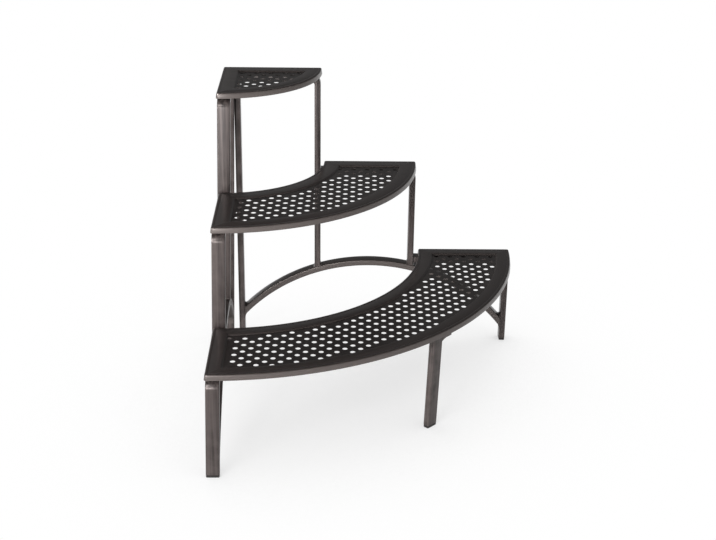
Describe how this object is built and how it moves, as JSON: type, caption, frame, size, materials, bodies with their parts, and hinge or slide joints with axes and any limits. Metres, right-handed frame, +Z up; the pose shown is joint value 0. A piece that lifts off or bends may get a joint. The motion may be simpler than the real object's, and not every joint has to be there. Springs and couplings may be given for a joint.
{
  "type": "tiered plant stand",
  "caption": "Quarter-round corner plant stand: stepped fan-shaped shelves of perforated sheet on bent rectangular tube frames with arched braces.",
  "frame": {"origin": "centre of the stand's footprint on the floor", "axes": "+Z up; the square corner is at -X +Y, the right arm runs along +X and the left arm along -Y"},
  "size_m": [0.6218, 0.6228, 0.607],
  "materials": {
    "painted_metal": "satin",
    "perforated_sheet": "satin",
    "foot_plastic": "matte"
  },
  "bodies": {
    "root": {"top_shelf_rim": "painted_metal", "top_shelf_sheet": "perforated_sheet", "middle_shelf_rim": "painted_metal", "middle_shelf_sheet": "perforated_sheet", "bottom_shelf_rim": "painted_metal", "bottom_shelf_sheet": "perforated_sheet", "right_corner_post": "painted_metal", "right_upper_bent_tube": "painted_metal", "right_middle_bent_tube": "painted_metal", "right_end_leg_tube": "painted_metal", "right_arch_tube": "painted_metal", "right_corner_foot": "foot_plastic", "right_end_foot": "foot_plastic", "left_corner_post": "painted_metal", "left_upper_bent_tube": "painted_metal", "left_middle_bent_tube": "painted_metal", "left_end_leg_tube": "painted_metal", "left_arch_tube": "painted_metal", "left_corner_foot": "foot_plastic", "left_end_foot": "foot_plastic", "middle_leg_tube": "painted_metal", "middle_leg_bracket": "painted_metal", "middle_leg_foot": "foot_plastic"}
  },
  "joints": []
}
